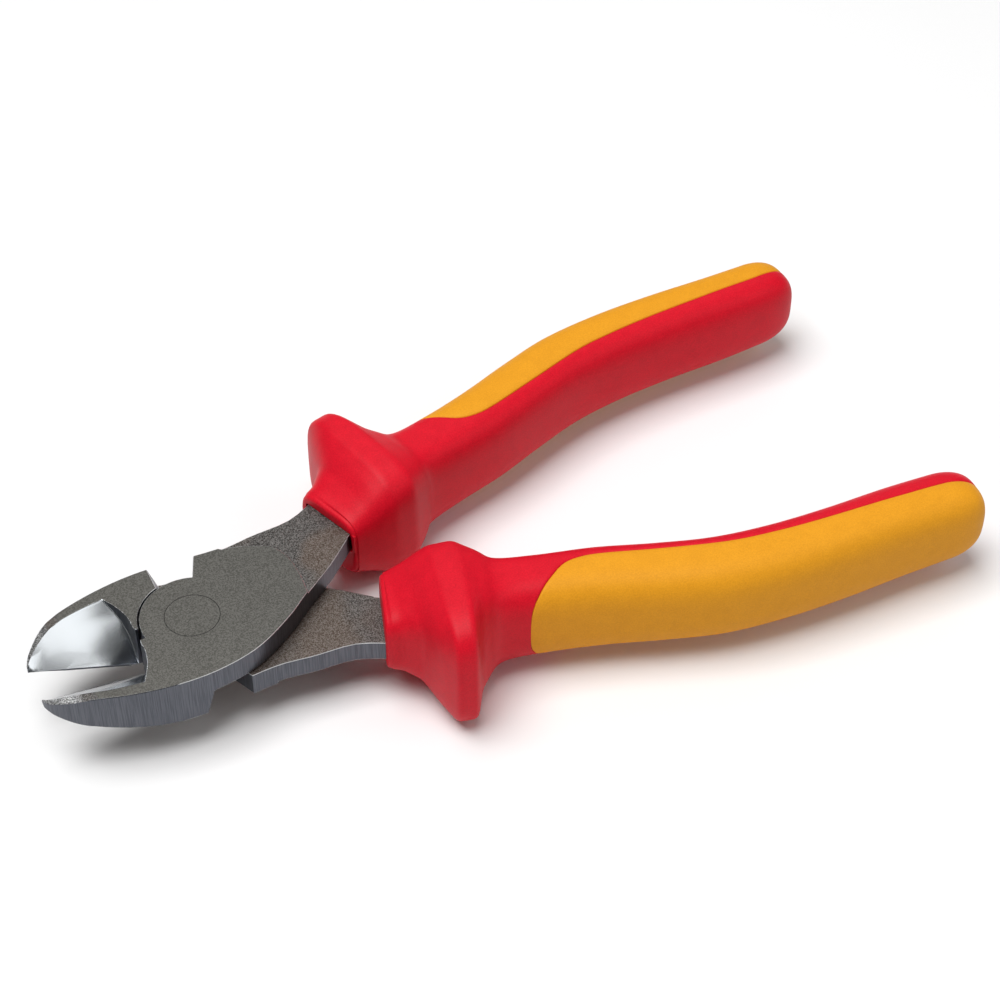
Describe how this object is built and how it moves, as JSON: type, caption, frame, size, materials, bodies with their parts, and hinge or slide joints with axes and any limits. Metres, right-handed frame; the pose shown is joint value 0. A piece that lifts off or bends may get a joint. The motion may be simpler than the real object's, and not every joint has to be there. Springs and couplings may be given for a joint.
{
  "type": "diagonal cutting pliers",
  "caption": "Insulated heavy-duty diagonal cutting pliers with a riveted lap joint, half open, with red handle sleeves and yellow soft grips.",
  "frame": {"origin": "on the pivot axis at the flat back face of the head", "axes": "+Z along the pivot axis, out of the bevelled side of the head; +X from the pivot along the middle between the handles; the jaws point along -X"},
  "size_m": [0.1943, 0.0918, 0.0292],
  "materials": {
    "steel": "satin ground faces, rough tang, polished bevels",
    "rivet_steel": "ground flush with the head",
    "liner_plastic": "matt, hidden",
    "red_plastic": "satin, finely grained",
    "yellow_soft_grip": "matt, finely grained"
  },
  "bodies": {
    "upper_half": {"upper_steel_half": "steel", "joint_rivet": "rivet_steel", "upper_handle_liner": "liner_plastic", "upper_handle_sleeve": "red_plastic", "upper_soft_grip": "yellow_soft_grip"},
    "lower_half": {"lower_steel_half": "steel", "lower_handle_liner": "liner_plastic", "lower_handle_sleeve": "red_plastic", "lower_soft_grip": "yellow_soft_grip"}
  },
  "joints": [
    {"name": "jaw_hinge", "type": "hinge", "parent": "upper_half", "child": "lower_half", "pos_m": [0, 0, 0], "axis": [0, 0, 1], "range_deg": [-28, 14]}
  ]
}
